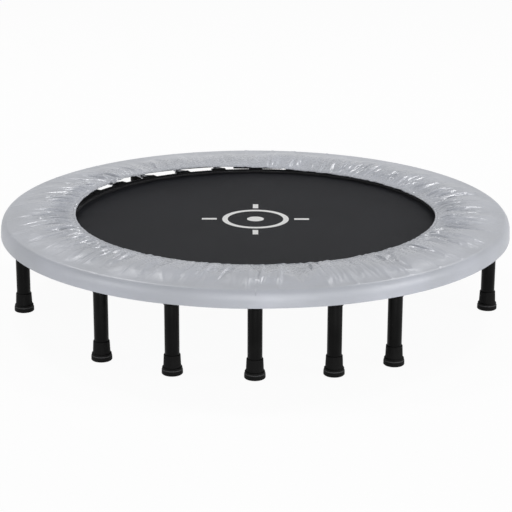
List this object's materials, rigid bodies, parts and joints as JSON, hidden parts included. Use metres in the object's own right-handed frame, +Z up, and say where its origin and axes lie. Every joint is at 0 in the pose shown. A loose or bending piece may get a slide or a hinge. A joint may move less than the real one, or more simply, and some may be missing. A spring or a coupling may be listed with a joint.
{
  "type": "folding mini trampoline",
  "caption": "Round folding mini trampoline: black mat on springs, grey padded spring cover, hinged tube frame and short black legs with rubber feet.",
  "frame": {"origin": "on the floor under the middle of the mat, at the bottom centre of the box", "axes": "+Z up; +X to the right and -Y towards the viewer in the picture; the fold lines run along Y"},
  "size_m": [1.02, 1.02, 0.185],
  "materials": {
    "frame_black": "semi-gloss powder coat",
    "bolt_zinc": "zinc plated",
    "spring_steel": "galvanised wire",
    "mat_black": "woven polypropylene",
    "pad_grey": "satin coated fabric over foam",
    "rubber_black": "moulded rubber"
  },
  "bodies": {
    "middle": {"hinge_channel_front": "frame_black", "hinge_channel_back": "frame_black", "hinge_bolt_front_left": "bolt_zinc", "hinge_bolt_front_right": "bolt_zinc", "hinge_bolt_back_left": "bolt_zinc", "hinge_bolt_back_right": "bolt_zinc", "hinge_nut_front_left": "bolt_zinc", "hinge_nut_front_right": "bolt_zinc", "hinge_nut_back_left": "bolt_zinc", "hinge_nut_back_right": "bolt_zinc", "mat_middle": "mat_black", "spring_set_front": "spring_steel", "spring_set_back": "spring_steel", "pad_fold_front": "pad_grey", "pad_fold_back": "pad_grey", "leg_socket_hinge_front": "frame_black", "leg_hinge_front": "frame_black", "foot_hinge_front": "rubber_black", "leg_socket_hinge_back": "frame_black", "leg_hinge_back": "frame_black", "foot_hinge_back": "rubber_black"},
    "left_wing": {"frame_left": "frame_black", "mat_left": "mat_black", "spring_set_left": "spring_steel", "pad_left": "pad_grey", "leg_socket_left_1": "frame_black", "leg_left_1": "frame_black", "foot_left_1": "rubber_black", "leg_socket_left_2": "frame_black", "leg_left_2": "frame_black", "foot_left_2": "rubber_black", "leg_socket_left_3": "frame_black", "leg_left_3": "frame_black", "foot_left_3": "rubber_black", "leg_socket_left_4": "frame_black", "leg_left_4": "frame_black", "foot_left_4": "rubber_black", "leg_socket_left_5": "frame_black", "leg_left_5": "frame_black", "foot_left_5": "rubber_black"},
    "right_wing": {"frame_right": "frame_black", "mat_right": "mat_black", "spring_set_right": "spring_steel", "pad_right": "pad_grey", "leg_socket_right_1": "frame_black", "leg_right_1": "frame_black", "foot_right_1": "rubber_black", "leg_socket_right_2": "frame_black", "leg_right_2": "frame_black", "foot_right_2": "rubber_black", "leg_socket_right_3": "frame_black", "leg_right_3": "frame_black", "foot_right_3": "rubber_black", "leg_socket_right_4": "frame_black", "leg_right_4": "frame_black", "foot_right_4": "rubber_black", "leg_socket_right_5": "frame_black", "leg_right_5": "frame_black", "foot_right_5": "rubber_black"}
  },
  "joints": [
    {"name": "left_fold", "type": "hinge", "parent": "middle", "child": "left_wing", "pos_m": [-0.035, 0, 0.16], "axis": [0, 1, 0], "range_deg": [0, 90], "deforming": ["pad_fold_front", "pad_fold_back"]},
    {"name": "right_fold", "type": "hinge", "parent": "middle", "child": "right_wing", "pos_m": [0.035, 0, 0.16], "axis": [0, -1, 0], "range_deg": [0, 90]}
  ]
}
